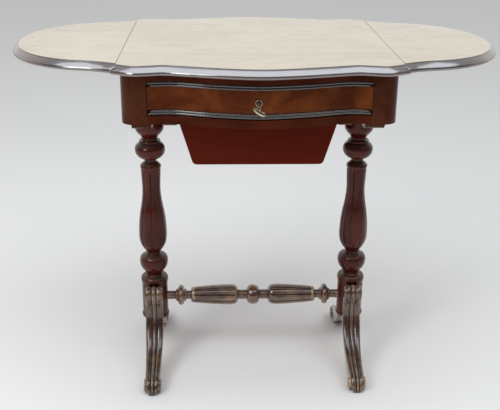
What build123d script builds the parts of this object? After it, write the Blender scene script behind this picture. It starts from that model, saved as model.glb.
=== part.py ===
from build123d import *
import os
from math import cos, hypot, radians, sin

# Vintage sewing table: a serpentine top with two drop leaves, a serpentine case with
# one locked drawer, a work well that slides out under the case, and two turned columns
# on scroll legs joined by a turned stretcher.
# Millimetres. +X is the user's right, +Y is away from the user, +Z is up. The origin is
# on the floor under the middle of the table.

# ---------------------------------------------------------------- driving dimensions
HEIGHT = 740.0  # floor to the top's upper face
TOP_THICK = 18.0
TOP_UNDER = HEIGHT - TOP_THICK
NOSE = 11.0  # how far the moulded edge stands out past the flat of the top
BEVEL = 10.5
NOSE_ROUND = 4.0
BOARD_JOINT_Y = -139.0  # glue line between the two boards of the fixed top

JOINT_X = 261.0  # line of the rule joints, and of the leaf hinge pins
RULE_RADIUS = 10.0
RULE_GAP = 0.5

CASE_BOTTOM = 624.0
CASE_HALF = 258.0
CASE_FRONT_INNER = -170.0
CASE_BACK = 222.0
CASE_WALL = 18.0
CORNER_RADIUS = 28.0
LINER_OUTER = 239.5
LINER_THICK = 13.5
LINER_INNER = LINER_OUTER - LINER_THICK

LOWER_RAIL_THICK = 16.4
UPPER_RAIL_THICK = 17.0
OPENING_HIGH = TOP_UNDER - UPPER_RAIL_THICK
OPENING_HALF = 209.4

DRAWER_GAP = 0.4
DRAWER_HALF = OPENING_HALF - DRAWER_GAP
DRAWER_LOW = 642.2
RUNNER_TOP = DRAWER_LOW - DRAWER_GAP
DRAWER_HIGH = OPENING_HIGH - DRAWER_GAP
FRONT_THICK = 24.0
FIELD_SET_BACK = 2.0
STRIP_SEAT = 6.0
STRIP_FACE = 1.0
STRIP_TALL = 9.4
REED_RADIUS = 2.2
REED_STEP = 2.35  # from the strip's middle to the middle of each reed
DRAWER_SIDE_THICK = 9.0
DRAWER_SIDE_HIGH = 694.0
DRAWER_BACK_Y = 185.0

LOCK_X = -4.0
LOCK_Z = 672.5
BOLT_SET_BACK = 15.2  # from the case's front to the middle of the lock's bolt
ESCUTCHEON_RADIUS = 6.4
KEY_DROOP = 17.0  # degrees that the key hangs below level
KEY_TWIST = 30.0  # degrees that its bow is turned at rest

COLUMN_X = 224.0
BEARER_LOW = 600.0
BEARER_HALF = 19.0
BEARER_REACH = 178.0
TENON_RADIUS = 12.0
DRUM_RADIUS = 28.5
DRUM_LOW = 98.0
STRETCHER_Z = 153.0
STRETCHER_TENON = 9.0
FLUTES = 8

WELL_TOP_HALF = 156.0
WELL_LOW_HALF = 127.0
WELL_HIGH = 622.0
WELL_LOW = 527.0
WELL_FRONT = -168.0
WELL_BACK = 146.0
WELL_FRONT_THICK = 8.0
WELL_WALL = 6.0

PIVOT_X = 249.0
PIVOT_Y = 9.0
BRACKET_HALF = 8.9
BRACKET_LOW = 650.0
BRACKET_HIGH = TOP_UNDER - 0.4
BRACKET_REACH = 150.0
FINGER_LOW = 673.0
FINGER_HIGH = 699.0
BRACKET_PIN = 2.5
BRACKET_PLAY = 0.5  # gap around a closed bracket
BRACKET_DROP = 2.4  # gap under a closed bracket, which its curved edge needs to swing

SCREW_RADIUS = 2.2
SCREW_HEAD = 4.3

HINGE_Y = 180.0
HINGE_LONG = 36.0
HINGE_THICK = 1.5
KNUCKLE = 2.6
HINGE_PIN = 1.0

FIT = 0.05  # clearance of a pin, screw or tenon in its hole
SIDES = {"left": -1, "right": 1}

# Half of the fixed top's flat, from the middle out: distance from the centre line, and
# depth to the rim. It bulges in the middle, dips and swells into an ear near each end.
RIM = [(0, 276), (60, 268), (120, 253), (175, 240), (205, 245.5), (228, 248.5), (261, 232)]
# The leaf's rim from the joint to the tip.
LEAF_RIM = [
    (261, 225), (285, 213), (312, 203), (340, 197), (370, 186.5), (400, 168), (430, 139.5),
    (458, 94), (471, 52), (477, 0),
]
# The case's front, from the middle out.
CASE_FRONT = [(0, -252), (60, -244), (120, -229), (175, -216), (205, -221), (230, -224.5), (264, -221)]


def both_ways(points):
    """Points of one half, mirrored about x = 0 and put in order from left to right."""
    return [(-x, y) for x, y in reversed(points[1:])] + list(points)


def grow(points, distance):
    """Points moved out by a distance, square to the line through their neighbours."""
    moved = []
    for i, (x, y) in enumerate(points):
        ax, ay = points[max(i - 1, 0)]
        bx, by = points[min(i + 1, len(points) - 1)]
        span = hypot(bx - ax, by - ay)
        moved.append((x + distance * (by - ay) / span, y - distance * (bx - ax) / span))
    return moved


def finish(piece, name):
    """Label a finished piece and write it as its own STEP file."""
    piece.part.label = name
    export_step(piece.part, f"parts/{name}.step")


def front_plan(x_low, x_high, z, face, back):
    """A plan whose front edge is the case's serpentine set back by face, cut off flat at y = back."""
    points = [(x, y + face) for x, y in both_ways(CASE_FRONT)]
    with BuildSketch(Plane.XY.offset(z)) as plan:
        with BuildLine():
            front = Spline(*points)
            Polyline(front @ 1, (points[-1][0], back), (points[0][0], back), front @ 0)
        make_face()
        with Locations(((x_low + x_high) / 2, 0)):
            Rectangle(x_high - x_low, 1000, mode=Mode.INTERSECT)
    return plan.sketch


def front_band(half, z, face, back):
    """A plan between two serpentines, set back by face and by back, as wide as the drawer."""
    with BuildSketch(Plane.XY.offset(z)) as plan:
        with BuildLine():
            near = Spline(*[(x, y + face) for x, y in both_ways(CASE_FRONT)])
            far = Spline(*[(x, y + back) for x, y in both_ways(CASE_FRONT)])
            Line(near @ 0, far @ 0)
            Line(near @ 1, far @ 1)
        make_face()
        Rectangle(2 * half, 1000, mode=Mode.INTERSECT)
    return plan.sketch


def half_profile(place, runs):
    """A closed face beside a turning axis. Each run is a list of (radius, height) points."""
    with BuildSketch(place) as face:
        with BuildLine():
            for run in runs:
                if len(run) == 2:
                    Line(*run)
                else:
                    Spline(*run)
            Line(runs[-1][-1], runs[0][0])
        make_face()
    return face.sketch


def joined(runs):
    """Runs with a straight line put in wherever one run doesn't start where the last one ends."""
    out = [runs[0]]
    for run in runs[1:]:
        if out[-1][-1] != run[0]:
            out.append([out[-1][-1], run[0]])
        out.append(run)
    return out


os.makedirs("parts", exist_ok=True)

# ---------------------------------------------------------------- top and leaves
JOINT_AXIS_Z = TOP_UNDER
RULE_TOP = JOINT_AXIS_Z + RULE_RADIUS


def rule_cut(side, radius, outer):
    """Section across a rule joint: what lies outside the rounded edge, or inside the hollowed one."""
    x = side * JOINT_X
    with BuildSketch(Plane.XZ) as section:
        if outer:
            with BuildLine():
                Polyline((x, RULE_TOP), (x, HEIGHT + 5), (x + side * 30, HEIGHT + 5),
                         (x + side * 30, TOP_UNDER), (x + side * radius, TOP_UNDER))
                RadiusArc((x + side * radius, TOP_UNDER), (x, RULE_TOP), side * radius)
            make_face()
        else:
            with Locations((x, JOINT_AXIS_Z)):
                Circle(radius)
    return section.sketch


nose_front = grow([(x, -y) for x, y in both_ways(RIM)], NOSE)
nose_end = (JOINT_X + RULE_RADIUS + 2, nose_front[-1][1] + 6)
nose_front = [(-nose_end[0], nose_end[1])] + nose_front + [nose_end]
with BuildSketch(Plane.XY.offset(TOP_UNDER)) as top_plan:
    with BuildLine():
        near_edge = Spline(*nose_front)
        far_edge = Spline(*[(x, -y) for x, y in nose_front])
        Line(near_edge @ 0, far_edge @ 0)
        Line(near_edge @ 1, far_edge @ 1)
    make_face()

with BuildPart() as top_centre:
    extrude(top_plan.sketch, amount=TOP_THICK)
    long_edges = top_centre.edges().filter_by(GeomType.BSPLINE)
    chamfer(long_edges.group_by(Axis.Z)[-1], length=BEVEL)
    fillet(top_centre.edges().filter_by(GeomType.BSPLINE).group_by(Axis.Z)[0], radius=NOSE_ROUND)
    for side in SIDES.values():
        extrude(rule_cut(side, RULE_RADIUS, True), amount=400, both=True, mode=Mode.SUBTRACT)
        for hinge_y in (-HINGE_Y, HINGE_Y):
            with Locations((side * (JOINT_X - 15), hinge_y, TOP_UNDER)):
                Box(31, HINGE_LONG + 0.4, 2 * (HINGE_THICK + 0.1), mode=Mode.SUBTRACT)
            with Locations((side * (JOINT_X + 5), hinge_y, TOP_UNDER)):
                Box(14, HINGE_LONG + 1.0, 2 * (HINGE_THICK + 0.6), mode=Mode.SUBTRACT)
            with Locations(Location((side * JOINT_X, hinge_y, TOP_UNDER), (90, 0, 0))):
                Cylinder(KNUCKLE + 0.6, HINGE_LONG + 1.0, mode=Mode.SUBTRACT)
            for dy in (-11, 11):
                with Locations((side * (JOINT_X - 20), hinge_y + dy, TOP_UNDER + 6)):
                    Cylinder(1.5 + FIT, 12, mode=Mode.SUBTRACT)
        for screw_y in (-110, 110):
            with Locations((side * 208, screw_y, TOP_UNDER + 6.5)):
                Cylinder(2.2 + FIT, 13, mode=Mode.SUBTRACT)

board_joint = Plane.XZ.offset(-BOARD_JOINT_Y)
with BuildPart() as top_board_front:
    add(top_centre.part)
    split(bisect_by=board_joint, keep=Keep.TOP)
finish(top_board_front, "top_board_front")

with BuildPart() as top_board_rear:
    add(top_centre.part)
    split(bisect_by=board_joint, keep=Keep.BOTTOM)
finish(top_board_rear, "top_board_rear")

leaf_half = grow([(x, -y) for x, y in LEAF_RIM] + [(LEAF_RIM[-2][0], LEAF_RIM[-2][1])], NOSE)[:-1]
leaf_half[0] = (JOINT_X + RULE_GAP, leaf_half[0][1])
leaf_nose = leaf_half + [(x, -y) for x, y in reversed(leaf_half[:-1])]
for name, side in SIDES.items():
    with BuildSketch(Plane.XY.offset(TOP_UNDER)) as leaf_plan:
        with BuildLine():
            edge = Spline(*[(side * x, y) for x, y in leaf_nose])
            Line(edge @ 0, edge @ 1)
        make_face()
    with BuildPart() as leaf:
        extrude(leaf_plan.sketch, amount=TOP_THICK)
        chamfer(leaf.edges().filter_by(GeomType.BSPLINE).group_by(Axis.Z)[-1], length=BEVEL)
        fillet(leaf.edges().filter_by(GeomType.BSPLINE).group_by(Axis.Z)[0], radius=NOSE_ROUND)
        extrude(rule_cut(side, RULE_RADIUS + RULE_GAP, False), amount=400, both=True, mode=Mode.SUBTRACT)
        for hinge_y in (-HINGE_Y, HINGE_Y):
            with Locations((side * (JOINT_X + 23), hinge_y, TOP_UNDER)):
                Box(37, HINGE_LONG + 0.4, 2 * (HINGE_THICK + 0.1), mode=Mode.SUBTRACT)
            for dy in (-11, 11):
                with Locations((side * (JOINT_X + 30), hinge_y + dy, TOP_UNDER + 6)):
                    Cylinder(1.5 + FIT, 12, mode=Mode.SUBTRACT)
    finish(leaf, f"leaf_{name}")


# ---------------------------------------------------------------- leaf hinges
def hinge_flap(x, y, direction, width, holes_at, fingers):
    """One flap of a leaf hinge, added to the current part: a plate under the wood and its knuckles."""
    with Locations((x + direction * width / 2, y, TOP_UNDER + HINGE_THICK / 2)):
        Box(width, HINGE_LONG, HINGE_THICK)
    with Locations(Location((x, y, TOP_UNDER), (90, 0, 0))):
        Cylinder(KNUCKLE + 0.35, HINGE_LONG + 1, mode=Mode.SUBTRACT)
    for low, high in fingers:
        with Locations(Location((x, y + (low + high) / 2, TOP_UNDER), (90, 0, 0))):
            Cylinder(KNUCKLE, high - low)
        with Locations((x + direction * 2.2, y + (low + high) / 2, TOP_UNDER + HINGE_THICK / 2)):
            Box(4.4, high - low, HINGE_THICK)
    with Locations(Location((x, y, TOP_UNDER), (90, 0, 0))):
        Cylinder(HINGE_PIN + FIT, HINGE_LONG + 1, mode=Mode.SUBTRACT)
    for dy in (-11, 11):
        with Locations((x + direction * holes_at, y + dy, TOP_UNDER + HINGE_THICK / 2)):
            Cylinder(2.7, 2, mode=Mode.SUBTRACT)


def hinge_screws(spots):
    """Small countersunk screws driven up into the wood, as separate solids in one node."""
    with BuildPart() as screws:
        for x, y in spots:
            with Locations((x, y, TOP_UNDER + 0.75)):
                Cylinder(2.65, 1.5)
            with Locations((x, y, TOP_UNDER + 6.25)):
                Cylinder(1.5, 11.5)
            with Locations((x, y, TOP_UNDER)):
                Box(0.6, 6, 0.8, mode=Mode.SUBTRACT)
    return screws


OUTER_FINGERS = [(-HINGE_LONG / 2, -6.2), (6.2, HINGE_LONG / 2)]
MIDDLE_FINGER = [(-6.0, 6.0)]
HINGE_SPOTS = [(side * JOINT_X, y, side) for side in SIDES.values() for y in (-HINGE_Y, HINGE_Y)]

with BuildPart() as hinge_flaps_fixed:
    for x, y, side in HINGE_SPOTS:
        hinge_flap(x, y, -side, 30, 20, OUTER_FINGERS)
finish(hinge_flaps_fixed, "hinge_flaps_fixed")

with BuildPart() as hinge_pins:
    for x, y, side in HINGE_SPOTS:
        with Locations(Location((x, y, TOP_UNDER), (90, 0, 0))):
            Cylinder(HINGE_PIN, HINGE_LONG)
finish(hinge_pins, "hinge_pins")

fixed_spots = [(x - side * 20, y + dy) for x, y, side in HINGE_SPOTS for dy in (-11, 11)]
finish(hinge_screws(fixed_spots), "hinge_screws_fixed")

for name, side in SIDES.items():
    with BuildPart() as hinge_flaps_leaf:
        for y in (-HINGE_Y, HINGE_Y):
            hinge_flap(side * JOINT_X, y, side, 40, 30, MIDDLE_FINGER)
    finish(hinge_flaps_leaf, f"hinge_flaps_{name}")
    leaf_spots = [(side * (JOINT_X + 30), y + dy) for y in (-HINGE_Y, HINGE_Y) for dy in (-11, 11)]
    finish(hinge_screws(leaf_spots), f"hinge_screws_{name}")

# ---------------------------------------------------------------- case
upper_plan = front_plan(-OPENING_HALF, OPENING_HALF, OPENING_HIGH, 0, CASE_FRONT_INNER)
with BuildPart() as rail_upper:
    extrude(upper_plan, amount=UPPER_RAIL_THICK)
    with Locations((LOCK_X, CASE_FRONT[0][1] + BOLT_SET_BACK, OPENING_HIGH + 4)):
        Box(24, 4.4, 10, mode=Mode.SUBTRACT)
finish(rail_upper, "rail_upper")

lower_plan = front_plan(-OPENING_HALF, OPENING_HALF, CASE_BOTTOM, 0, CASE_FRONT_INNER)
with BuildPart() as rail_lower:
    extrude(lower_plan, amount=LOWER_RAIL_THICK)
    top_edges = rail_lower.faces().sort_by(Axis.Z)[-1].edges()
    fillet(top_edges.sort_by(lambda edge: edge.center().Y)[0], radius=1.2)
finish(rail_lower, "rail_lower")

for name, side in SIDES.items():
    edges_x = sorted((side * OPENING_HALF, side * CASE_HALF))
    post_plan = front_plan(*edges_x, CASE_BOTTOM, 0, CASE_FRONT_INNER)
    with BuildPart() as corner_post:
        extrude(post_plan, amount=TOP_UNDER - CASE_BOTTOM)
        outer = corner_post.edges().filter_by(Axis.Z).group_by(Axis.X)[-1 if side > 0 else 0]
        fillet(outer.sort_by(Axis.Y)[0], radius=CORNER_RADIUS)
    finish(corner_post, f"corner_post_{name}")

CASE_TALL = TOP_UNDER - CASE_BOTTOM
CASE_MID_Z = (TOP_UNDER + CASE_BOTTOM) / 2
LINER_END = CASE_BACK - CASE_WALL
LINER_LONG = LINER_END - CASE_FRONT_INNER
LINER_MID_Y = (LINER_END + CASE_FRONT_INNER) / 2


def bracket_outline(x, grown, drop):
    """Side view of a swing bracket, closed: the hinge is at PIVOT_Y and the arm points to the user."""
    tip = PIVOT_Y - BRACKET_REACH - grown
    low = BRACKET_LOW - drop
    with BuildSketch(Plane.YZ.offset(x)) as outline:
        with BuildLine():
            Polyline((PIVOT_Y, low), (PIVOT_Y, BRACKET_HIGH + grown), (tip, BRACKET_HIGH + grown),
                     (tip, 700 - drop))
            Spline((tip, 700 - drop), (PIVOT_Y - 110, 697 - drop), (PIVOT_Y - 72, 687 - drop),
                   (PIVOT_Y - 50, 668 - drop), (PIVOT_Y - 40, low))
            Line((PIVOT_Y - 40, low), (PIVOT_Y, low))
        make_face()
    return outline.sketch


for name, side in SIDES.items():
    with BuildPart() as case_side:
        with Locations((side * (LINER_OUTER - LINER_THICK / 2), LINER_MID_Y, CASE_MID_Z)):
            Box(LINER_THICK, LINER_LONG, CASE_TALL)
    finish(case_side, f"case_side_{name}")

    outer_mid = side * (LINER_OUTER + CASE_HALF) / 2
    pivot = (side * PIVOT_X, PIVOT_Y)
    with BuildPart() as side_rail:
        with Locations((outer_mid, LINER_MID_Y, CASE_MID_Z)):
            Box(CASE_HALF - LINER_OUTER, LINER_LONG, CASE_TALL)
        recess = bracket_outline(side * PIVOT_X, BRACKET_PLAY, BRACKET_DROP)
        extrude(recess, amount=12, both=True, mode=Mode.SUBTRACT)
        with Locations((outer_mid, PIVOT_Y + 4.6, (BRACKET_LOW - BRACKET_DROP + TOP_UNDER) / 2)):
            Box(30, 9.4, TOP_UNDER - BRACKET_LOW + BRACKET_DROP, mode=Mode.SUBTRACT)
        with Locations((*pivot, (FINGER_LOW + FINGER_HIGH) / 2)):
            Cylinder(BRACKET_HALF - 0.2, FINGER_HIGH - FINGER_LOW - 0.6)
        with Locations((side * (PIVOT_X - 4.6), PIVOT_Y + 5, (FINGER_LOW + FINGER_HIGH) / 2)):
            Box(8.4, 10, FINGER_HIGH - FINGER_LOW - 0.6)
        with Locations((*pivot, CASE_MID_Z + 6)):
            Cylinder(BRACKET_PIN + FIT, CASE_TALL, mode=Mode.SUBTRACT)
    finish(side_rail, f"side_rail_{name}")

    with BuildPart() as bracket:
        extrude(bracket_outline(side * PIVOT_X, 0, 0), amount=BRACKET_HALF, both=True)
        with Locations((*pivot, (BRACKET_LOW + BRACKET_HIGH) / 2)):
            Cylinder(BRACKET_HALF, BRACKET_HIGH - BRACKET_LOW)
        with Locations((*pivot, (FINGER_LOW + FINGER_HIGH) / 2)):
            Cylinder(BRACKET_HALF + 0.5, FINGER_HIGH - FINGER_LOW, mode=Mode.SUBTRACT)
        with Locations((*pivot, CASE_MID_Z)):
            Cylinder(BRACKET_PIN + FIT, CASE_TALL, mode=Mode.SUBTRACT)
    finish(bracket, f"leaf_bracket_{name}")

with BuildPart() as bracket_pins:
    for side in SIDES.values():
        with Locations((side * PIVOT_X, PIVOT_Y, (CASE_BOTTOM + 7 + BRACKET_HIGH) / 2)):
            Cylinder(BRACKET_PIN, BRACKET_HIGH - CASE_BOTTOM - 7)
finish(bracket_pins, "bracket_pins")

with BuildPart() as case_back:
    with Locations((0, CASE_BACK - CASE_WALL / 2, CASE_MID_Z)):
        Box(2 * CASE_HALF, CASE_WALL, CASE_TALL)
    fillet(case_back.edges().filter_by(Axis.Z).group_by(Axis.Y)[-1], radius=8)
finish(case_back, "case_back")

SCREW_SPOTS = [(side * 215, y) for side in SIDES.values() for y in (-120, 120)]
TOP_SCREW_SPOTS = [(side * 208, y) for side in SIDES.values() for y in (-110, 110)]
DUST_THICK = 8.0
with BuildPart() as dust_board:
    with Locations((0, LINER_MID_Y, CASE_BOTTOM + DUST_THICK / 2)):
        Box(2 * LINER_INNER, LINER_LONG, DUST_THICK)
    with Locations(*[(x, y, CASE_BOTTOM + DUST_THICK / 2) for x, y in SCREW_SPOTS]):
        Cylinder(SCREW_RADIUS + FIT, DUST_THICK + 1, mode=Mode.SUBTRACT)
finish(dust_board, "dust_board")

for name, side in SIDES.items():
    inner_x = 190.0
    runner_x = side * (inner_x + LINER_INNER) / 2
    with BuildPart() as drawer_runner:
        with Locations((runner_x, LINER_MID_Y, (CASE_BOTTOM + DUST_THICK + RUNNER_TOP) / 2)):
            Box(LINER_INNER - inner_x, LINER_LONG, RUNNER_TOP - CASE_BOTTOM - DUST_THICK)
        guide_x = side * (OPENING_HALF + 0.2 + LINER_INNER) / 2
        with Locations((guide_x, LINER_MID_Y, RUNNER_TOP + 7)):
            Box(LINER_INNER - OPENING_HALF - 0.2, LINER_LONG, 14)
        with Locations(*[(x, y, RUNNER_TOP) for x, y in SCREW_SPOTS]):
            Cylinder(SCREW_RADIUS + FIT, 40, mode=Mode.SUBTRACT)
    finish(drawer_runner, f"drawer_runner_{name}")

    with BuildPart() as drawer_kicker:
        with Locations((runner_x, LINER_MID_Y, OPENING_HIGH + UPPER_RAIL_THICK / 2)):
            Box(LINER_INNER - inner_x, LINER_LONG, UPPER_RAIL_THICK)
        with Locations(*[(x, y, OPENING_HIGH + 8) for x, y in TOP_SCREW_SPOTS if x * side > 0]):
            Cylinder(SCREW_RADIUS + FIT, 20, mode=Mode.SUBTRACT)
        with Locations(*[(x, y, OPENING_HIGH) for x, y in TOP_SCREW_SPOTS if x * side > 0]):
            Cylinder(SCREW_HEAD + FIT, 6.2, mode=Mode.SUBTRACT)
    finish(drawer_kicker, f"drawer_kicker_{name}")

with BuildPart() as glue_blocks:
    with Locations(*[(x, LINER_END - 7, TOP_UNDER - 7) for x in (-120, 0, 120)]):
        Box(44, 14, 14)
    chamfer(glue_blocks.edges().filter_by(Axis.X).group_by(Axis.Z)[0].group_by(Axis.Y)[0], length=9)
finish(glue_blocks, "glue_blocks")

# ---------------------------------------------------------------- drawer
LOCK_Y = CASE_FRONT[0][1] + 14.0  # middle of the lock's thickness
LOCK_HALF = 24.0
LOCK_LOW = 655.0
LOCK_DEEP = 10.0
LOCK_WALL = 1.5

seat_band = front_band(DRAWER_HALF, DRAWER_LOW, STRIP_SEAT, FRONT_THICK)
field_band = front_band(DRAWER_HALF, DRAWER_LOW + STRIP_TALL + 0.1, FIELD_SET_BACK, FRONT_THICK)
with BuildPart() as drawer_front:
    extrude(seat_band, amount=DRAWER_HIGH - DRAWER_LOW)
    extrude(field_band, amount=DRAWER_HIGH - DRAWER_LOW - 2 * (STRIP_TALL + 0.1))
    with Locations((LOCK_X, LOCK_Y + 6, (LOCK_LOW + DRAWER_HIGH) / 2)):
        Box(2 * LOCK_HALF, LOCK_DEEP + 12, DRAWER_HIGH - LOCK_LOW, mode=Mode.SUBTRACT)
    with BuildSketch(Plane.XZ.offset(-CASE_FRONT[0][1])):
        with Locations((LOCK_X, LOCK_Z + 1)):
            SlotCenterToCenter(3, 9.4, rotation=90)
    extrude(amount=-30, mode=Mode.SUBTRACT)
    with Locations(Location((LOCK_X, CASE_FRONT[0][1] + 2, LOCK_Z), (90, 0, 0))):
        Cylinder(ESCUTCHEON_RADIUS + FIT, 3, mode=Mode.SUBTRACT)
finish(drawer_front, "drawer_front")


def reeded_strip(low, outer_side):
    """A strip with two reeds that follows the drawer front, with mitred ends."""
    base = front_band(DRAWER_HALF, low, STRIP_FACE, STRIP_SEAT)
    with BuildPart() as strip:
        extrude(base, amount=STRIP_TALL)
        for reed_z in (low + STRIP_TALL / 2 - REED_STEP, low + STRIP_TALL / 2 + REED_STEP):
            with BuildLine(Plane.XY.offset(reed_z)) as reed_line:
                Spline(*[(x, y + STRIP_FACE) for x, y in both_ways(CASE_FRONT)])
            start = Plane(origin=reed_line.line @ 0, x_dir=(0, 0, 1), z_dir=reed_line.line % 0)
            with BuildSketch(start):
                Circle(REED_RADIUS)
            sweep(path=reed_line.line)
        outer_z = low if outer_side < 0 else low + STRIP_TALL
        inner_z = low + STRIP_TALL if outer_side < 0 else low
        over = 2.0 * outer_side
        with BuildSketch(Plane.XZ):
            with BuildLine():
                Polyline((-DRAWER_HALF - 2, outer_z + over), (DRAWER_HALF + 2, outer_z + over),
                         (DRAWER_HALF - STRIP_TALL - 2, inner_z - over),
                         (-DRAWER_HALF + STRIP_TALL + 2, inner_z - over), close=True)
            make_face()
        extrude(amount=400, both=True, mode=Mode.INTERSECT)
    return strip


finish(reeded_strip(DRAWER_HIGH - STRIP_TALL, 1), "drawer_strip_upper")
finish(reeded_strip(DRAWER_LOW, -1), "drawer_strip_lower")

SIDE_X = DRAWER_HALF - 0.4 - DRAWER_SIDE_THICK / 2
for name, side in SIDES.items():
    with BuildPart() as drawer_side:
        with Locations((side * SIDE_X, (DRAWER_BACK_Y - 215) / 2, (DRAWER_LOW + DRAWER_SIDE_HIGH) / 2)):
            Box(DRAWER_SIDE_THICK, DRAWER_BACK_Y + 215, DRAWER_SIDE_HIGH - DRAWER_LOW)
        add(drawer_front.part, mode=Mode.SUBTRACT)
        near_bit = drawer_side.solids().sort_by(Axis.Y)[-1]
    with BuildPart() as drawer_side_clean:
        add(near_bit)
    finish(drawer_side_clean, f"drawer_side_{name}")

BOX_HALF = SIDE_X - DRAWER_SIDE_THICK / 2
BOTTOM_Z = 643.0
BOTTOM_THICK = 5.0
with BuildPart() as drawer_back:
    with Locations((0, DRAWER_BACK_Y - 4.5, (BOTTOM_Z + BOTTOM_THICK + 688) / 2)):
        Box(2 * BOX_HALF, 9, 688 - BOTTOM_Z - BOTTOM_THICK)
finish(drawer_back, "drawer_back")

inner_front = front_plan(-BOX_HALF, BOX_HALF, BOTTOM_Z, FRONT_THICK, DRAWER_BACK_Y)
with BuildPart() as drawer_bottom:
    extrude(inner_front, amount=BOTTOM_THICK)
finish(drawer_bottom, "drawer_bottom")

PARTITION_Y = -60.0
PARTITION_THICK = 5.0
PARTITION_HIGH = 684.0
PARTITION_MID_Z = (BOTTOM_Z + BOTTOM_THICK + PARTITION_HIGH) / 2
PARTITION_TALL = PARTITION_HIGH - BOTTOM_Z - BOTTOM_THICK
short_low = PARTITION_Y + PARTITION_THICK / 2 + 0.1
short_high = DRAWER_BACK_Y - 9
with BuildPart() as drawer_partitions:
    with Locations((0, PARTITION_Y, PARTITION_MID_Z)):
        Box(2 * BOX_HALF, PARTITION_THICK, PARTITION_TALL)
    with Locations(*[(x, (short_low + short_high) / 2, PARTITION_MID_Z) for x in (-68, 68)]):
        Box(PARTITION_THICK, short_high - short_low, PARTITION_TALL)
finish(drawer_partitions, "drawer_partitions")

# ---------------------------------------------------------------- lock and key
lock_mid_z = (LOCK_LOW + DRAWER_HIGH) / 2
lock_tall = DRAWER_HIGH - LOCK_LOW
key_rise = (LOCK_Y - LOCK_DEEP / 2 - CASE_FRONT[0][1]) * sin(radians(KEY_DROOP))
BOLT_HALF = 10.0
BOLT_Y = CASE_FRONT[0][1] + BOLT_SET_BACK
with BuildPart() as lock_case:
    with Locations((LOCK_X, LOCK_Y, lock_mid_z)):
        Box(2 * LOCK_HALF - 0.2, LOCK_DEEP, lock_tall)
        Box(2 * (LOCK_HALF - LOCK_WALL), LOCK_DEEP - 2 * LOCK_WALL, lock_tall - 2 * LOCK_WALL,
            mode=Mode.SUBTRACT)
    with Locations((LOCK_X, BOLT_Y, DRAWER_HIGH)):
        Box(2 * BOLT_HALF + 0.4, 3.4, 8, mode=Mode.SUBTRACT)
    with Locations(Location((LOCK_X, LOCK_Y - LOCK_DEEP / 2, LOCK_Z + key_rise), (90, 0, 0))):
        Cylinder(3.4, 4, mode=Mode.SUBTRACT)
finish(lock_case, "lock_case")

BOLT_LOW = 688.0
with BuildPart() as lock_bolt:
    with Locations((LOCK_X, BOLT_Y, (BOLT_LOW + DRAWER_HIGH - 0.4) / 2)):
        Box(2 * BOLT_HALF, 3.0, DRAWER_HIGH - 0.4 - BOLT_LOW)
    chamfer(lock_bolt.edges().group_by(Axis.Z)[-1].filter_by(Axis.X), length=0.6)
finish(lock_bolt, "lock_bolt")

ESCUTCHEON_HOLE = 5.3
with BuildPart() as escutcheon:
    with Locations(Location((LOCK_X, CASE_FRONT[0][1] + 1.4, LOCK_Z), (90, 0, 0))):
        Cylinder(ESCUTCHEON_RADIUS, 3.2)
        Cylinder(ESCUTCHEON_HOLE, 5, mode=Mode.SUBTRACT)
    fillet(escutcheon.edges().filter_by(GeomType.CIRCLE).group_by(Axis.Y)[0], radius=0.4)
finish(escutcheon, "escutcheon")

# The key's own plane: local X runs across the bow and local Y along the stem to the user.
droop = radians(KEY_DROOP)
twist = radians(KEY_TWIST)
stem_dir = Vector(0, -cos(droop), -sin(droop))
level = Vector(1, 0, 0)
upright = stem_dir.cross(level)
across = level * cos(twist) + upright * (sin(twist) * (1 if upright.Z < 0 else -1))
key_plane = Plane(origin=(LOCK_X, CASE_FRONT[0][1], LOCK_Z), x_dir=across, z_dir=across.cross(stem_dir))
BOW_MID = 28.0
BOW_WIDE = 13.5
BOW_DEEP = 9.5
BOW_HALF_THICK = 1.3
STEM_RADIUS = 1.9
STEM_INSIDE = 16.5
COLLAR_START = 12.0
stem_start = key_plane.origin - stem_dir * STEM_INSIDE
with BuildPart() as key:
    with BuildSketch(Plane(origin=stem_start, z_dir=stem_dir)):
        Circle(STEM_RADIUS)
    extrude(amount=STEM_INSIDE + COLLAR_START)
    collar_start = key_plane.origin + stem_dir * COLLAR_START
    with BuildSketch(Plane(origin=collar_start, z_dir=stem_dir)):
        Circle(STEM_RADIUS)
    with BuildSketch(Plane(origin=collar_start + stem_dir * 5, z_dir=stem_dir)):
        Circle(3.1)
    loft()
    with BuildSketch(Plane(origin=collar_start + stem_dir * 5, z_dir=stem_dir)):
        Circle(2.2)
    extrude(amount=3.4)
    with BuildSketch(key_plane):
        with Locations((0, BOW_MID)):
            Ellipse(BOW_WIDE, BOW_DEEP)
        with Locations((-7.6, BOW_MID), (7.6, BOW_MID)):
            Ellipse(2.3, 4.0, mode=Mode.SUBTRACT)
        with Locations((0, BOW_MID)):
            Ellipse(2.6, 5.2, mode=Mode.SUBTRACT)
    extrude(amount=BOW_HALF_THICK, both=True)
    with BuildSketch(key_plane):
        with Locations((4.2, -14.6)):
            Rectangle(5.2, 2.2)
    extrude(amount=0.9, both=True)
finish(key, "key")

# ---------------------------------------------------------------- sliding work well
WELL_SLOPE = (WELL_TOP_HALF - WELL_LOW_HALF) / (WELL_HIGH - WELL_LOW)


def well_panel(y):
    """Outline of the well's tapered end panels, with their rounded lower corners."""
    with BuildSketch(Plane.XZ.offset(-y)) as outline:
        with BuildLine():
            Polyline((-WELL_LOW_HALF, WELL_LOW), (WELL_LOW_HALF, WELL_LOW), (WELL_TOP_HALF, WELL_HIGH),
                     (-WELL_TOP_HALF, WELL_HIGH), close=True)
        make_face()
        fillet(outline.vertices().group_by(Axis.Y)[0], radius=10)
    return outline.sketch


with BuildPart() as well_front:
    extrude(well_panel(WELL_FRONT), amount=-WELL_FRONT_THICK)
    fillet(well_front.faces().sort_by(Axis.Y)[0].edges(), radius=1.5)
finish(well_front, "well_front")

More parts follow.
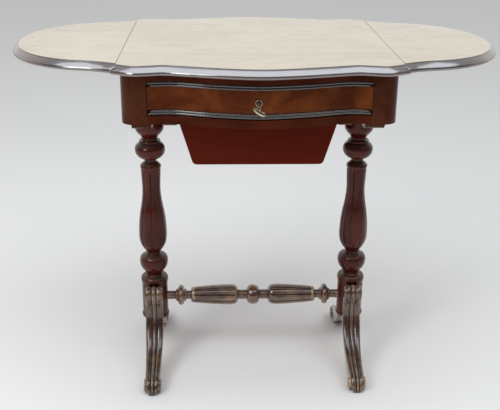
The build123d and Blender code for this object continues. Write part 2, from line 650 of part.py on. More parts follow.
with BuildPart() as well_back:
    extrude(well_panel(WELL_BACK - WELL_WALL), amount=-WELL_WALL)
finish(well_back, "well_back")

well_near = WELL_FRONT + WELL_FRONT_THICK
well_far = WELL_BACK - WELL_WALL
WELL_FLOOR = WELL_LOW + WELL_WALL
WELL_RAIL_X = 157.3
WELL_RAIL_WIDE = 14.6
WELL_RAIL_TALL = 10.0
WELL_RAIL_Z = 615.0
WELL_GAP = 0.4
WELL_RUNNER_X = 171.0
WELL_RUNNER_Y = 18.0
WELL_RUNNER_WIDE = 26.0
WELL_RUNNER_LONG = 336.0
WELL_RUNNER_TALL = 22.0
GROOVE_X = 161.6
GROOVE_WIDE = 7.4
for name, side in SIDES.items():
    low_x = WELL_LOW_HALF + WELL_SLOPE * (WELL_FLOOR - WELL_LOW) - 0.5
    high_x = WELL_TOP_HALF - 0.5
    with BuildPart() as well_side:
        with BuildSketch(Plane.XZ.offset(-well_near)):
            with BuildLine():
                Polyline((side * low_x, WELL_FLOOR), (side * high_x, WELL_HIGH),
                         (side * (high_x - WELL_WALL), WELL_HIGH), (side * (low_x - WELL_WALL), WELL_FLOOR),
                         close=True)
            make_face()
        extrude(amount=-(well_far - well_near))
    finish(well_side, f"well_side_{name}")

    with BuildPart() as well_rail:
        with Locations((side * WELL_RAIL_X, (well_near + well_far) / 2, WELL_RAIL_Z)):
            Box(WELL_RAIL_WIDE, well_far - well_near, WELL_RAIL_TALL)
        add(well_side.part, mode=Mode.SUBTRACT)
        rail_only = well_rail.solids().sort_by(Axis.X)[-1 if side > 0 else 0]
    with BuildPart() as well_rail_clean:
        add(rail_only)
    finish(well_rail_clean, f"well_rail_{name}")

    with BuildPart() as well_runner:
        with Locations((side * WELL_RUNNER_X, WELL_RUNNER_Y, CASE_BOTTOM - WELL_RUNNER_TALL / 2)):
            Box(WELL_RUNNER_WIDE, WELL_RUNNER_LONG, WELL_RUNNER_TALL)
        with Locations((side * GROOVE_X, WELL_RUNNER_Y, WELL_RAIL_Z)):
            Box(GROOVE_WIDE, WELL_RUNNER_LONG + 4, WELL_RAIL_TALL + 2 * WELL_GAP, mode=Mode.SUBTRACT)
    finish(well_runner, f"well_runner_{name}")

with BuildPart() as well_bottom:
    with Locations((0, (well_near + well_far) / 2, WELL_LOW + WELL_WALL / 2)):
        Box(2 * (WELL_LOW_HALF - 3), well_far - well_near, WELL_WALL)
finish(well_bottom, "well_bottom")

# ---------------------------------------------------------------- bearers and columns
for name, side in SIDES.items():
    with BuildPart() as bearer:
        with Locations((side * COLUMN_X, 0, (BEARER_LOW + CASE_BOTTOM) / 2)):
            Box(2 * BEARER_HALF, 2 * BEARER_REACH, CASE_BOTTOM - BEARER_LOW)
        fillet(bearer.edges().filter_by(Axis.X).group_by(Axis.Z)[0], radius=15)
        with Locations((side * COLUMN_X, 0, BEARER_LOW + 9)):
            Cylinder(TENON_RADIUS + FIT, 18, mode=Mode.SUBTRACT)
        with Locations(*[(x, y, BEARER_LOW + 12) for x, y in SCREW_SPOTS if x * side > 0]):
            Cylinder(SCREW_RADIUS + FIT, 30, mode=Mode.SUBTRACT)
        with Locations(*[(x, y, BEARER_LOW) for x, y in SCREW_SPOTS if x * side > 0]):
            Cylinder(SCREW_HEAD + FIT, 6.2, mode=Mode.SUBTRACT)
    finish(bearer, f"bearer_{name}")

with BuildPart() as frame_screws:
    top_spots = [(x, y, OPENING_HIGH, 25) for x, y in TOP_SCREW_SPOTS]
    for x, y, low, shank in top_spots + [(x, y, BEARER_LOW, 32) for x, y in SCREW_SPOTS]:
        with Locations((x, y, low + 1.6)):
            Cylinder(SCREW_HEAD, 3)
        with Locations((x, y, low + 3 + shank / 2)):
            Cylinder(SCREW_RADIUS, shank)
        with Locations((x, y, low)):
            Box(0.9, 10, 2, mode=Mode.SUBTRACT)
finish(frame_screws, "frame_screws")

VASE = [(21.8, 461), (19.7, 435), (19.1, 420), (19.5, 406), (20.8, 392), (22.9, 377), (25.5, 363),
        (27.9, 348), (29.4, 334), (30.1, 320), (30.5, 305), (28.8, 291), (23, 278), (16, 268)]
COLUMN_RUNS = joined([
    [(0, 617.5), (TENON_RADIUS, 617.5)],
    [(TENON_RADIUS, BEARER_LOW), (30.8, BEARER_LOW)],
    [(30.8, 557), (29.6, 549), (25, 543), (19.5, 538), (17, 532)],
    [(17, 529), (22.5, 527)],
    [(22.5, 523), (26, 519), (30, 511), (30.5, 505), (29, 498), (23.5, 491), (16, 484)],
    [(16, 479), (20.5, 475)],
    [(20.5, 474), (23.2, 468), (21.8, 461)],
    VASE,
    [(15, 266), (15, 260)],
    [(20, 258.5), (26, 253), (30.3, 241), (29.2, 233), (26, 226), (20.8, 219)],
    [(17.5, 213), (17.5, 207)],
    [(25, 206), (29.5, 200), (28.5, 189)],
    [(DRUM_RADIUS, 186), (DRUM_RADIUS, 107)],
    [(DRUM_RADIUS, 107), (30.2, 102.5), (DRUM_RADIUS, DRUM_LOW)],
    [(DRUM_RADIUS, DRUM_LOW), (0, DRUM_LOW)],
])
FLUTE_LINE = [(r + 0.6, z) for r, z in VASE[1:-1]]
for name, side in SIDES.items():
    axis = Axis((side * COLUMN_X, 0, 0), (0, 0, 1))
    place = Plane(origin=(side * COLUMN_X, 0, 0), x_dir=(1, 0, 0), z_dir=(0, -1, 0))
    body = half_profile(place, COLUMN_RUNS)
    half_turn = 0.5 if side > 0 else 0.0
    with BuildPart() as column:
        revolve(body, axis=axis)
        for i in range(FLUTES):
            turn = Rotation(0, 0, 360 / FLUTES * (i + half_turn))
            flute_place = Plane(Location((side * COLUMN_X, 0, 0)) * turn * Location(Plane.XZ))
            with BuildLine(flute_place) as flute_line:
                Spline(*FLUTE_LINE)
            flute_start = Plane(origin=flute_line.line @ 0, z_dir=flute_line.line % 0)
            with BuildSketch(flute_start):
                Circle(1.9)
            sweep(path=flute_line.line, mode=Mode.SUBTRACT)
        for leg_side in (-1, 1):
            with Locations((side * COLUMN_X, leg_side * 24, 142)):
                Box(12.1, 15, 92, mode=Mode.SUBTRACT)
        mortise = Location((side * 204, 0, STRETCHER_Z), (0, 90, 0))
        with Locations(mortise):
            Cylinder(STRETCHER_TENON + FIT, 17, mode=Mode.SUBTRACT)
    finish(column, f"column_{name}")

# ---------------------------------------------------------------- stretcher
STRETCHER_HALF = [
    (0, 212), (STRETCHER_TENON, 212), (STRETCHER_TENON, 195.5), (9.75, 195.5), (9.75, 177),
]
STRETCHER_RUNS = joined([
    [(0, 212), (STRETCHER_TENON, 212)],
    [(STRETCHER_TENON, 195.6), (9.75, 195.6)],
    [(9.75, 177), (14, 175)],
    [(14, 173), (20, 170)],
    [(20, 170), (23.5, 164.5), (20, 159)],
    [(14, 156), (13, 153)],
    [(10, 151), (10, 143)],
    [(17, 141), (20, 118), (22.5, 90), (23.8, 64), (23.6, 47), (20, 38), (10, 33)],
    [(11.5, 32), (11.5, 14)],
    [(14, 14), (21.5, 8), (23, 0), (21.5, -8), (14, -14)],
])
right_half = STRETCHER_RUNS[:-1]
left_half = [[(r, -x) for r, x in reversed(run)] for run in reversed(right_half)]
stretcher_face_runs = joined(right_half + [STRETCHER_RUNS[-1]] + left_half)
along_x = Plane(origin=(0, 0, STRETCHER_Z), x_dir=(0, 0, 1), z_dir=(0, -1, 0))
with BuildPart() as stretcher:
    revolve(half_profile(along_x, [[(r, -x) for r, x in run] for run in stretcher_face_runs]),
            axis=Axis((0, 0, STRETCHER_Z), (1, 0, 0)))
finish(stretcher, "stretcher")

# ---------------------------------------------------------------- legs
LEG_FACE = [
    [(DRUM_RADIUS, 186), (33, 195), (43, 195), (53, 185), (54, 172), (47, 158)],
    [(47, 158), (43, 144), (43, 128), (50, 106), (66, 80), (90, 58), (118, 43), (142, 36), (158, 33)],
    [(158, 33), (170, 30), (176, 20), (175, 8), (166, 0)],
]
LEG_BACK = [(136, 0), (116, 12), (92, 26), (68, 48), (50, 72), (38, 92), (DRUM_RADIUS, 106)]
LEG_FRONT_HALF = [(0, 18.5), (10, 18.5), (34, 16), (90, 17.5), (150, 19), (200, 19.5)]


def leg(side, way):
    """One scroll leg and the tongue that slides up into its column. way is -1 in front, 1 behind."""
    x_dir = (0, way, 0)
    place = Plane(origin=(side * COLUMN_X, 0, 0), x_dir=x_dir, z_dir=(way, 0, 0))
    with BuildPart() as piece:
        with BuildSketch(place):
            with BuildLine():
                for run in LEG_FACE:
                    Spline(*run)
                Line((166, 0), (136, 0))
                Spline(*LEG_BACK)
                Line((DRUM_RADIUS, 106), (DRUM_RADIUS, 186))
            make_face()
        extrude(amount=22, both=True)
        with BuildSketch(Plane(origin=(side * COLUMN_X, 0, 0), x_dir=(1, 0, 0), z_dir=(0, -1, 0))):
            with BuildLine():
                right_edge = Spline(*[(w, z) for z, w in LEG_FRONT_HALF])
                left_edge = Spline(*[(-w, z) for z, w in LEG_FRONT_HALF])
                Line(right_edge @ 0, left_edge @ 0)
                Line(right_edge @ 1, left_edge @ 1)
            make_face()
        extrude(amount=200, both=True, mode=Mode.INTERSECT)
        with Locations((side * COLUMN_X, 0, 150)):
            Cylinder(DRUM_RADIUS + FIT, 120, mode=Mode.SUBTRACT)
        with Locations((side * COLUMN_X, way * 24.5, 142)):
            Box(12, 15, 84)
    return piece


for name, side in SIDES.items():
    finish(leg(side, -1), f"leg_front_{name}")
    finish(leg(side, 1), f"leg_rear_{name}")
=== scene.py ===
import bmesh
import bpy
import math
import numpy as np
from mathutils import Matrix, Vector


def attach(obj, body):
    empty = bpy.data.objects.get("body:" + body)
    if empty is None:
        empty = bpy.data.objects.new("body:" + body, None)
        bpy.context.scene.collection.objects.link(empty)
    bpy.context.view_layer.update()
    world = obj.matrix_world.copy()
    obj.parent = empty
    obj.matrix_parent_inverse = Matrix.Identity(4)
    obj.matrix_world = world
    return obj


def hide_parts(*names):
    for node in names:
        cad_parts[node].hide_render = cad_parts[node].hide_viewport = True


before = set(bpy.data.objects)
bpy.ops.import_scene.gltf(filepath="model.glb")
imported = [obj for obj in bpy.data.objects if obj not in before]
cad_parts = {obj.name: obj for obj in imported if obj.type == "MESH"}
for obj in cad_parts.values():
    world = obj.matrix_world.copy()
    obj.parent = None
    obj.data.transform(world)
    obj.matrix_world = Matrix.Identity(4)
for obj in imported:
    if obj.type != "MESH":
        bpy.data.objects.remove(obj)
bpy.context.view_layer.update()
MM = 0.001

# ---------------------------------------------------------------- main sizes, in mm
TOP_Z = 740.0
TOP_THICK = 18.0
JOINT_X = 261.0
RULE_RADIUS = 10.0
RULE_GAP = 0.9
BOARD_JOINT_Y = -139.0
BOARD_GAP_HALF = 0.3
COLUMN_X = 224.0
STRETCHER_Z = 153.0
HINGE_Y = 180.0
POCKET_HALF = 18.4

# how many points or sides the meshes get
RIM_POINTS = 220
LEAF_POINTS = 300
COLUMN_SIDES = 240
STRETCHER_SIDES = 200
CURL_SIDES = 40


# ---------------------------------------------------------------- curves and meshes
def smooth(points, per_span=12):
    """Dense points of a smooth curve through the given ones."""
    p = np.array(points, float)
    if len(p) < 3:
        return p
    gap = np.linalg.norm(np.diff(p, axis=0), axis=1)
    t = np.concatenate([[0], np.cumsum(gap)])
    slope = np.zeros_like(p)
    slope[1:-1] = (p[2:] - p[:-2]) / (t[2:] - t[:-2])[:, None]
    slope[0] = 2 * (p[1] - p[0]) / gap[0] - slope[1]
    slope[-1] = 2 * (p[-1] - p[-2]) / gap[-1] - slope[-2]
    out = []
    for i in range(len(p) - 1):
        u = np.linspace(0, 1, per_span, endpoint=False)[:, None]
        a = (1 + 2 * u) * (1 - u) ** 2 * p[i] + u * u * (3 - 2 * u) * p[i + 1]
        b = u * (1 - u) ** 2 * slope[i] * gap[i] - u * u * (1 - u) * slope[i + 1] * gap[i]
        out.append(a + b)
    out.append(p[-1:])
    return np.vstack(out)


def offset(curve, distance):
    """A plane curve moved sideways, to the right of its direction, by a distance."""
    step = np.gradient(curve, axis=0)
    step /= np.linalg.norm(step, axis=1)[:, None]
    return curve + distance * np.stack([step[:, 1], -step[:, 0]], axis=1)


def resample(curve, count):
    """The same curve as evenly spaced points."""
    length = np.concatenate([[0], np.cumsum(np.linalg.norm(np.diff(curve, axis=0), axis=1))])
    at = np.linspace(0, length[-1], count)
    return np.stack([np.interp(at, length, curve[:, k]) for k in range(curve.shape[1])], axis=1)


def piece(name, bm, body, replaced=(), sharp=32):
    """A finished mesh object from a bmesh in mm, riding on its body."""
    bmesh.ops.recalc_face_normals(bm, faces=bm.faces)
    for face in bm.faces:
        face.smooth = True
    mesh = bpy.data.meshes.new(name)
    bm.to_mesh(mesh)
    bm.free()
    mesh.transform(Matrix.Scale(MM, 4))
    mesh.set_sharp_from_angle(angle=math.radians(sharp))
    obj = bpy.data.objects.new(name, mesh)
    bpy.context.scene.collection.objects.link(obj)
    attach(obj, body)
    if replaced:
        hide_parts(*replaced)
    return obj


def loft(rings, cap=True):
    """A bmesh skinned over closed rings with the same number of points."""
    bm = bmesh.new()
    loops = [[bm.verts.new(p) for p in ring] for ring in rings]
    count = len(rings[0])
    for low, high in zip(loops, loops[1:]):
        for i in range(count):
            j = (i + 1) % count
            bm.faces.new((low[i], low[j], high[j], high[i]))
    if cap:
        bm.faces.new(loops[0][::-1])
        bm.faces.new(loops[-1])
    return bm


def carve(obj, cutter_bm):
    """Takes the shapes in a bmesh, in mm, out of an object."""
    mesh = bpy.data.meshes.new("cutter")
    cutter_bm.to_mesh(mesh)
    cutter_bm.free()
    mesh.transform(Matrix.Scale(MM, 4))
    cutter = bpy.data.objects.new("cutter", mesh)
    bpy.context.scene.collection.objects.link(cutter)
    modifier = obj.modifiers.new("carve", "BOOLEAN")
    modifier.operation = "DIFFERENCE"
    modifier.object = cutter
    modifier.solver = "EXACT"
    graph = bpy.context.evaluated_depsgraph_get()
    cut_mesh = bpy.data.meshes.new_from_object(obj.evaluated_get(graph))
    obj.modifiers.clear()
    obj.data = cut_mesh
    obj.data.set_sharp_from_angle(angle=math.radians(32))
    bpy.data.objects.remove(cutter)


# ---------------------------------------------------------------- materials
def new_node(tree, kind, inputs=None, **settings):
    node = tree.nodes.new(kind)
    for key, value in settings.items():
        setattr(node, key, value)
    for key, value in (inputs or {}).items():
        if isinstance(value, bpy.types.NodeSocket):
            tree.links.new(value, node.inputs[key])
        else:
            node.inputs[key].default_value = value
    return node


def math_node(tree, operation, a, b=0.0, clamp=False):
    return new_node(tree, "ShaderNodeMath", {0: a, 1: b}, operation=operation, use_clamp=clamp).outputs[0]


def remap(tree, value, low, high, to_low=0.0, to_high=1.0):
    node = new_node(tree, "ShaderNodeMapRange", {0: value, 1: low, 2: high, 3: to_low, 4: to_high})
    return node.outputs[0]


def noise(tree, coords, scale, stretch=(1, 1, 1), detail=4.0, rough=0.55, distortion=0.0):
    """Noise with its features stretched along the axes by the given factors."""
    mapping = new_node(tree, "ShaderNodeMapping", {"Vector": coords, "Scale": [1 / s for s in stretch]})
    node = new_node(tree, "ShaderNodeTexNoise", {
        "Vector": mapping.outputs[0], "Scale": scale, "Detail": detail, "Roughness": rough,
        "Distortion": distortion})
    return node.outputs["Fac"]


def mix(tree, factor, a, b, blend="MIX"):
    node = new_node(tree, "ShaderNodeMix", data_type="RGBA", blend_type=blend)
    for socket, value in ((node.inputs[0], factor), (node.inputs[6], a), (node.inputs[7], b)):
        if isinstance(value, bpy.types.NodeSocket):
            tree.links.new(value, socket)
        elif socket is node.inputs[0]:
            socket.default_value = value
        else:
            socket.default_value = (*value, 1.0)
    return node.outputs[2]


def edge_mask(tree, radius):
    """Near 1 on sharp convex and concave edges, 0 on flats."""
    bevel = new_node(tree, "ShaderNodeBevel", {"Radius": radius}, samples=4)
    geometry = new_node(tree, "ShaderNodeNewGeometry")
    dot = new_node(tree, "ShaderNodeVectorMath", {0: bevel.outputs[0], 1: geometry.outputs["Normal"]},
                   operation="DOT_PRODUCT")
    return remap(tree, dot.outputs["Value"], 1.0, 0.86)


STRETCH = {"x": (14, 1, 1), "y": (1, 14, 1), "z": (1, 1, 14)}
FIBRE = {"x": (60, 1, 1), "y": (1, 60, 1), "z": (1, 1, 60)}


TAN = (0.48, 0.30, 0.16)
# Grey-green of dust and painted sheen on upward faces.
DUST_AND_SHEEN_COLOUR = (0.12, 0.115, 0.09)
# Near-black of the painted shade laid into corners and grooves.
PAINTED_SHADE_COLOUR = (0.008, 0.005, 0.004)
METAL_DIRT = (0.02, 0.015, 0.01)
# How wide the worn edges, the softened arrises and the corners with painted shade are, in metres.
WORN_EDGE = 0.0018
SOFT_ARRIS = 0.0006
METAL_ARRIS = 0.0004
SHADE_REACH = 0.012
METAL_DIRT_REACH = 0.003


def wood(name, dark, light, along, gloss=(0.12, 0.3), coat=0.8, coat_ior=1.5, coat_rough=0.06,
         mottle=None, mottle_scale=14.0, wear=None, wear_amount=0.5, painted_shade=0.5, bump=0.12,
         specular=0.5, streak=70.0, fibre=0.35, tint=(1, 1, 1), ridge=0.0, dust_and_sheen=0.0):
    """Varnished wood: streaks and fibres along the grain, clouded colour, worn edges, rubbed ridges,
    dust and painted sheen on what faces up, painted shade in corners and grooves."""
    material = bpy.data.materials.new(name)
    material.use_nodes = True
    tree = material.node_tree
    shader = tree.nodes["Principled BSDF"]
    coords = new_node(tree, "ShaderNodeTexCoord").outputs["Object"]
    streaks = noise(tree, coords, streak, STRETCH[along], 5, 0.6, 0.6)
    fibres = noise(tree, coords, 900, FIBRE[along], 3, 0.7)
    clouds = noise(tree, coords, mottle_scale, (1, 1, 1), 3, 0.5, 0.4)
    colour = mix(tree, remap(tree, streaks, 0.32, 0.68), dark, light)
    if mottle:
        colour = mix(tree, remap(tree, clouds, 0.42, 0.66), colour, mottle)
    colour = mix(tree, remap(tree, fibres, 0.35, 0.62, fibre, 0.0), colour, [c * 0.35 for c in dark])
    if wear:
        patchy = noise(tree, coords, 110, (1, 1, 1), 4, 0.65)
        edges = math_node(tree, "MULTIPLY", edge_mask(tree, WORN_EDGE), remap(tree, patchy, 0.4, 0.62))
        colour = mix(tree, math_node(tree, "MULTIPLY", edges, wear_amount, True), colour, wear)
    if ridge:
        pointed = new_node(tree, "ShaderNodeNewGeometry").outputs["Pointiness"]
        rubbed = noise(tree, coords, 60, (1, 1, 1), 4, 0.6)
        crest = math_node(tree, "MULTIPLY", remap(tree, pointed, 0.505, 0.56),
                          remap(tree, rubbed, 0.36, 0.6))
        colour = mix(tree, math_node(tree, "MULTIPLY", crest, ridge, True), colour, TAN)
    # Dust and painted sheen: greys the faces turned upward, partly standing in for the reflection of the
    # bright room above.
    if dust_and_sheen:
        normal = new_node(tree, "ShaderNodeNewGeometry").outputs["Normal"]
        upward = new_node(tree, "ShaderNodeSeparateXYZ", {0: normal}).outputs["Z"]
        dust_and_sheen_patches = remap(tree, noise(tree, coords, 90, (1, 1, 1), 4, 0.6), 0.35, 0.65, 0.4, 1.0)
        amount = math_node(tree, "MULTIPLY", remap(tree, upward, 0.15, 0.85, 0.0, dust_and_sheen), dust_and_sheen_patches, True)
        colour = mix(tree, amount, colour, DUST_AND_SHEEN_COLOUR)
    # Painted shade: ambient occlusion darkens the colour in corners, grooves and crevices.
    if painted_shade:
        occlusion = new_node(tree, "ShaderNodeAmbientOcclusion", {"Distance": SHADE_REACH}, samples=4)
        corner_darkening = remap(tree, occlusion.outputs["AO"], 0.35, 0.9, painted_shade, 0.0)
        colour = mix(tree, corner_darkening, colour, PAINTED_SHADE_COLOUR)
    tree.links.new(colour, shader.inputs["Base Color"])
    scuffs = noise(tree, coords, 45, (1, 1, 1), 6, 0.7)
    tree.links.new(remap(tree, scuffs, 0.3, 0.7, *gloss), shader.inputs["Roughness"])
    shader.inputs["Specular IOR Level"].default_value = specular
    shader.inputs["Specular Tint"].default_value = (*tint, 1)
    shader.inputs["Coat Weight"].default_value = coat
    shader.inputs["Coat Roughness"].default_value = coat_rough
    shader.inputs["Coat IOR"].default_value = coat_ior
    height = math_node(tree, "ADD", math_node(tree, "MULTIPLY", fibres, 0.5),
                       math_node(tree, "MULTIPLY", scuffs, 0.6))
    soft_edge = new_node(tree, "ShaderNodeBevel", {"Radius": SOFT_ARRIS}, samples=4)
    relief = new_node(tree, "ShaderNodeBump", {
        "Strength": bump, "Distance": SOFT_ARRIS, "Height": height, "Normal": soft_edge.outputs[0]})
    tree.links.new(relief.outputs[0], shader.inputs["Normal"])
    tree.links.new(soft_edge.outputs[0], shader.inputs["Coat Normal"])
    return material


def metal(name, bright, tarnish, rough=(0.25, 0.5), amount=0.6):
    """Old metal: bright where it is handled, dull and darker in cloudy patches and in corners."""
    material = bpy.data.materials.new(name)
    material.use_nodes = True
    tree = material.node_tree
    shader = tree.nodes["Principled BSDF"]
    coords = new_node(tree, "ShaderNodeTexCoord").outputs["Object"]
    patches = noise(tree, coords, 260, (1, 1, 1), 5, 0.65)
    grain = noise(tree, coords, 2500, (1, 1, 1), 2, 0.5)
    colour = mix(tree, remap(tree, patches, 0.4, 0.68, 0.0, amount), bright, tarnish)
    occlusion = new_node(tree, "ShaderNodeAmbientOcclusion", {"Distance": METAL_DIRT_REACH}, samples=4)
    corner_darkening = remap(tree, occlusion.outputs["AO"], 0.4, 0.9, 0.7, 0.0)
    colour = mix(tree, corner_darkening, colour, METAL_DIRT)
    tree.links.new(colour, shader.inputs["Base Color"])
    tree.links.new(remap(tree, patches, 0.3, 0.7, *rough), shader.inputs["Roughness"])
    shader.inputs["Metallic"].default_value = 1.0
    soft_edge = new_node(tree, "ShaderNodeBevel", {"Radius": METAL_ARRIS}, samples=4)
    relief = new_node(tree, "ShaderNodeBump", {
        "Strength": 0.15, "Distance": 0.0002, "Height": grain, "Normal": soft_edge.outputs[0]})
    tree.links.new(relief.outputs[0], shader.inputs["Normal"])
    return material


# The tint of the case's weak reflections.
WARM = (1.0, 0.42, 0.28)
# The top's pale beige base colours are a painted reflection of the bright wall and ceiling on the dark
# wood.
top_wood_painted_reflection = wood("top_varnish_painted_reflection", (0.42, 0.30, 0.19), (0.54, 0.42, 0.29), "x", (0.26, 0.42), 1.0,
                1.7, 0.22, mottle=(0.58, 0.46, 0.33), mottle_scale=5, wear=None, painted_shade=0.0, bump=0.10,
                specular=0.6, streak=60)
edge_wood = wood("edge_varnish", (0.030, 0.008, 0.005), (0.060, 0.018, 0.011), "x", (0.3, 0.42), 1.0,
                 2.6, 0.15, mottle=(0.085, 0.030, 0.018), mottle_scale=22, wear=(0.26, 0.12, 0.06),
                 wear_amount=0.35, painted_shade=0.9, bump=0.04, specular=0.5)
CASE = dict(coat=0.0, specular=0.22, painted_shade=0.5, tint=WARM)
case_wood_x = wood("case_varnish", (0.030, 0.0042, 0.0015), (0.060, 0.0085, 0.0026), "x",
                   mottle=(0.090, 0.015, 0.004), wear=(0.22, 0.07, 0.03), wear_amount=0.35, **CASE)
case_wood_z = wood("post_varnish", (0.040, 0.0090, 0.0040), (0.075, 0.019, 0.009), "z",
                   mottle=(0.090, 0.028, 0.013), wear=(0.22, 0.07, 0.03), wear_amount=0.35, **CASE)
case_wood_y = wood("side_varnish", (0.040, 0.0090, 0.0040), (0.075, 0.019, 0.009), "y",
                   mottle=(0.090, 0.028, 0.013), wear=(0.22, 0.07, 0.03), wear_amount=0.35, **CASE)
field_wood = wood("field_veneer", (0.070, 0.0120, 0.0035), (0.125, 0.028, 0.008), "x",
                  mottle=(0.21, 0.055, 0.013), mottle_scale=13, streak=40, **CASE)
strip_wood = wood("strip_varnish", (0.014, 0.004, 0.003), (0.028, 0.009, 0.006), "x", (0.10, 0.18), 1.0,
                  1.8, 0.05, wear=(0.30, 0.20, 0.16), wear_amount=0.25, painted_shade=1.0, bump=0.0, fibre=0.05)
turned_wood = wood("turned_varnish", (0.038, 0.0034, 0.0018), (0.078, 0.0075, 0.0042), "z", (0.14, 0.24),
                   0.25, mottle=(0.100, 0.015, 0.008), mottle_scale=18, wear=TAN, wear_amount=0.35,
                   dust_and_sheen=0.5, specular=0.25, painted_shade=0.9, tint=(1.0, 0.6, 0.5))
stretcher_wood = wood("stretcher_varnish", (0.040, 0.011, 0.006), (0.12, 0.040, 0.018), "x",
                      (0.16, 0.32), 1.0, 1.7, 0.10, mottle=(0.26, 0.13, 0.065), mottle_scale=26, wear=TAN,
                      wear_amount=1.0, dust_and_sheen=0.1, ridge=1.0, specular=0.4, painted_shade=1.0)
leg_wood = wood("leg_varnish", (0.034, 0.012, 0.007), (0.080, 0.030, 0.015), "z", (0.18, 0.34), 1.0,
                1.65, 0.14, mottle=(0.17, 0.088, 0.046), mottle_scale=24, wear=TAN, wear_amount=1.0,
                ridge=1.0, specular=0.35, painted_shade=0.9)
well_wood = wood("well_stain", (0.108, 0.0105, 0.0050), (0.135, 0.0145, 0.007), "x", (0.5, 0.65), 0.0,
                 mottle=(0.124, 0.0125, 0.006), mottle_scale=9, painted_shade=0.5, specular=0.15, bump=0.2,
                 tint=WARM)
inner_wood = wood("inner_pine", (0.16, 0.08, 0.035), (0.28, 0.15, 0.07), "y", (0.55, 0.75), 0.0,
                  mottle=(0.22, 0.12, 0.06), painted_shade=0.5, bump=0.25)
inner_wood_x = wood("inner_pine_cross", (0.16, 0.08, 0.035), (0.28, 0.15, 0.07), "x", (0.55, 0.75), 0.0,
                    mottle=(0.22, 0.12, 0.06), painted_shade=0.5, bump=0.25)
old_brass = metal("old_brass", (0.42, 0.30, 0.13), (0.14, 0.10, 0.05))
key_metal = metal("key_metal", (0.72, 0.66, 0.50), (0.30, 0.25, 0.17), (0.28, 0.5), 0.5)
dull_steel = metal("dull_steel", (0.30, 0.29, 0.28), (0.12, 0.10, 0.09), (0.4, 0.6))


def paint(material, *names):
    """Gives CAD nodes their material."""
    for name in names:
        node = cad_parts[name]
        node.data.materials.clear()
        node.data.materials.append(material)


paint(case_wood_x, "rail_upper", "rail_lower", "case_back")
paint(case_wood_z, "corner_post_left", "corner_post_right")
paint(case_wood_y, "side_rail_left", "side_rail_right", "leaf_bracket_left", "leaf_bracket_right",
      "bearer_left", "bearer_right")
paint(field_wood, "drawer_front")
paint(strip_wood, "drawer_strip_upper", "drawer_strip_lower")
paint(well_wood, "well_front", "well_back", "well_side_left", "well_side_right", "well_bottom")
paint(inner_wood, "case_side_left", "case_side_right", "drawer_side_left", "drawer_side_right",
      "drawer_runner_left", "drawer_runner_right", "drawer_kicker_left", "drawer_kicker_right",
      "well_rail_left", "well_rail_right", "well_runner_left", "well_runner_right")
paint(inner_wood_x, "drawer_back", "drawer_bottom", "drawer_partitions", "dust_board", "glue_blocks")
paint(old_brass, "hinge_flaps_fixed", "hinge_flaps_left", "hinge_flaps_right", "hinge_pins")
paint(dull_steel, "hinge_screws_fixed", "hinge_screws_left", "hinge_screws_right", "frame_screws",
      "bracket_pins", "lock_case", "lock_bolt")
paint(key_metal, "key", "escutcheon")

# ---------------------------------------------------------------- top and leaves
# Half of the fixed top's rim from the middle out, and the leaf's from the joint to its tip.
RIM = [(0, 276), (60, 268), (120, 253), (175, 240), (205, 245.5), (228, 248.5), (261, 232), (277, 221)]
LEAF_RIM = [(240, 231), (261, 225), (285, 213), (312, 203), (340, 197), (370, 186.5), (400, 168),
            (430, 139.5), (458, 94), (471, 52), (477, 0)]
# The moulded edge: how far out from the rim, and how far below the top face.
EDGE = [[(0, 0), (0, 1.9)],
        [(1.0, 2.1), (3.2, 3.8), (5.6, 5.9), (8.2, 8.4), (9.8, 10.2), (10.8, 12.2), (11, 13.8),
         (10.4, 15.6), (8.8, 17.2), (6.2, 18.0)]]
edge_profile = np.vstack([np.array(EDGE[0], float), smooth(EDGE[1], 3)])
edge_profile[:, 1] = np.maximum.accumulate(edge_profile[:, 1])

centre_rim = smooth([(-x, -y) for x, y in reversed(RIM[1:])] + [(x, -y) for x, y in RIM], 16)
leaf_front = [(x, -y) for x, y in LEAF_RIM]
leaf_rim = smooth(leaf_front + [(x, y) for x, y in reversed(LEAF_RIM[:-1])], 16)


def rule_reach(z, radius):
    """How far past the joint line the rounded edge, or the hollow over it, reaches at a height."""
    up = z - (TOP_Z - TOP_THICK)
    return math.sqrt(max(radius ** 2 - up ** 2, 0.0)) if up < radius else 0.0


def centre_ring(out, down):
    z = TOP_Z - down
    end = JOINT_X + rule_reach(z, RULE_RADIUS)
    curve = offset(centre_rim, out)
    xs = np.linspace(-end, end, RIM_POINTS)
    ys = np.interp(xs, curve[:, 0], curve[:, 1])
    front = [(x, y, z) for x, y in zip(xs, ys)]
    return front + [(x, -y, z) for x, y, z in reversed(front)]


def leaf_ring(out, down, side):
    z = TOP_Z - down
    start = JOINT_X + max(rule_reach(z, RULE_RADIUS + RULE_GAP), RULE_GAP)
    curve = offset(leaf_rim, out)
    inside = curve[:, 0] >= start
    first = int(np.argmax(inside))
    last = len(inside) - 1 - int(np.argmax(inside[::-1]))
    y_front = np.interp(start, curve[first - 1:first + 1, 0], curve[first - 1:first + 1, 1])
    trimmed = np.vstack([[start, y_front], curve[first:last + 1], [start, -y_front]])
    return [(side * x, y, z) for x, y in resample(trimmed, LEAF_POINTS)]


POCKET = [(-30.5, -4), (-30.5, 1.65), (-2.8, 1.65), (-2.8, 3.4), (12.4, 3.4), (12.4, 1.65), (41.5, 1.65),
          (41.5, -4)]


